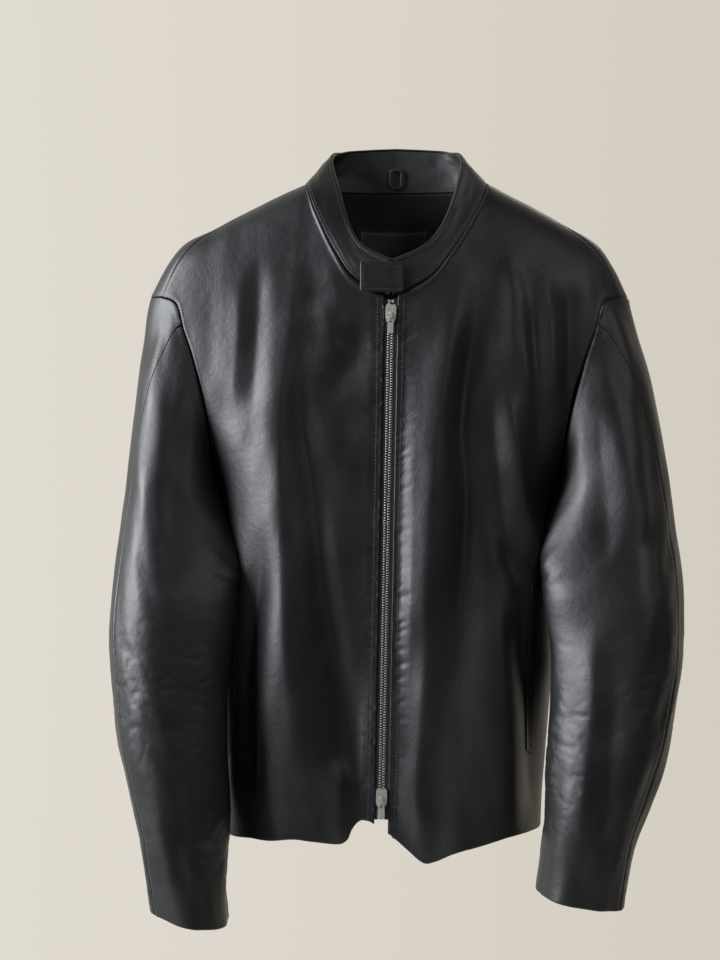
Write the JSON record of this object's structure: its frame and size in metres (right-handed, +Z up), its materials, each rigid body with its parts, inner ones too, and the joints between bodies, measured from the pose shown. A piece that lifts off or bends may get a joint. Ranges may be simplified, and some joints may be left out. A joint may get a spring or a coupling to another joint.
{
  "type": "leather jacket",
  "caption": "Hip-length black leather jacket with a stand collar, snap tab, two-way front zip, set-in two-piece sleeves and a full lining, hanging closed from its shoulders.",
  "frame": {"origin": "on the shoulder ridge midway between the shoulders, level with the back neck seam, where a hanger carries the jacket", "axes": "+Z up, -Y towards the front with the zip, +X towards the wearer's left"},
  "size_m": [0.5691, 0.1826, 0.7761],
  "materials": {
    "shell_leather": "black grain leather with a soft semi-gloss face",
    "inside_leather": "black leather facing, a little duller",
    "lining": "near-black satin-weave lining",
    "zip_tape": "black woven zip tape",
    "bright_metal": "polished nickel-coloured metal, lightly worn",
    "label": "plain dark grey woven label, blank",
    "interlining": "stiff woven interlining"
  },
  "bodies": {
    "jacket": {"front_panel_right": "shell_leather", "front_panel_left": "shell_leather", "back_panel": "shell_leather", "pocket_welt_right": "shell_leather", "pocket_welt_left": "shell_leather", "collar_outer": "shell_leather", "sleeve_right_top_upper": "shell_leather", "sleeve_right_under_upper": "shell_leather", "sleeve_left_top_upper": "shell_leather", "sleeve_left_under_upper": "shell_leather", "front_facing_right": "inside_leather", "front_facing_left": "inside_leather", "hem_facing_right": "inside_leather", "hem_facing_left": "inside_leather", "hem_facing_back": "inside_leather", "back_neck_facing": "inside_leather", "collar_inner": "inside_leather", "hang_loop": "inside_leather", "label_patch": "inside_leather", "front_lining_right": "lining", "front_lining_left": "lining", "back_lining": "lining", "sleeve_lining_right_upper": "lining", "sleeve_lining_left_upper": "lining", "zip_tape_right": "zip_tape", "zip_tape_left": "zip_tape", "zip_teeth_right": "bright_metal", "zip_teeth_left": "bright_metal", "zip_top_stop_right": "bright_metal", "zip_top_stop_left": "bright_metal", "zip_pin_right": "bright_metal", "zip_pin_left": "bright_metal", "snap_stud": "bright_metal", "label": "label", "collar_stiffener": "interlining"},
    "top_slider": {"top_slider": "bright_metal"},
    "top_slider_pull": {"top_slider_pull": "bright_metal"},
    "bottom_slider": {"bottom_slider": "bright_metal"},
    "bottom_slider_pull": {"bottom_slider_pull": "bright_metal"},
    "collar_tab": {"collar_tab": "shell_leather", "collar_tab_facing": "inside_leather", "snap_socket": "bright_metal"},
    "forearm_right": {"sleeve_right_top_lower": "shell_leather", "sleeve_right_under_lower": "shell_leather", "sleeve_lining_right_lower": "lining", "cuff_facing_right": "inside_leather"},
    "forearm_left": {"sleeve_left_top_lower": "shell_leather", "sleeve_left_under_lower": "shell_leather", "sleeve_lining_left_lower": "lining", "cuff_facing_left": "inside_leather"}
  },
  "joints": [
    {"name": "top_slider_run", "type": "slide", "parent": "jacket", "child": "top_slider", "axis": [-0.0198, -0.0277, -0.9994], "range_m": [0, 0.28]},
    {"name": "bottom_slider_run", "type": "slide", "parent": "jacket", "child": "bottom_slider", "axis": [0.0198, 0.0277, 0.9994], "range_m": [0, 0.14]},
    {"name": "top_pull_swing", "type": "hinge", "parent": "top_slider", "child": "top_slider_pull", "pos_m": [-0.00034, -0.06247, -0.14294], "axis": [-0.9998, 0.0005, 0.0197], "range_deg": [0, 165]},
    {"name": "bottom_pull_swing", "type": "hinge", "parent": "bottom_slider", "child": "bottom_slider_pull", "pos_m": [-0.00965, -0.07551, -0.61435], "axis": [-0.9998, 0.0005, 0.0197], "range_deg": [0, 165]},
    {"name": "collar_tab_open", "type": "hinge", "parent": "jacket", "child": "collar_tab", "pos_m": [0.012, -0.0618, -0.105], "axis": [0, 0, 1], "range_deg": [0, 110]},
    {"name": "elbow_right_bend", "type": "hinge", "parent": "jacket", "child": "forearm_right", "pos_m": [-0.2325, -0.1005, -0.42], "axis": [-1, 0, 0], "range_deg": [0, 90], "stiffness_Nm_per_rad": 0.15, "springref_deg": -22.92},
    {"name": "elbow_left_bend", "type": "hinge", "parent": "jacket", "child": "forearm_left", "pos_m": [0.235, -0.1005, -0.42], "axis": [-1, 0, 0], "range_deg": [0, 90], "stiffness_Nm_per_rad": 0.15, "springref_deg": -22.92}
  ]
}
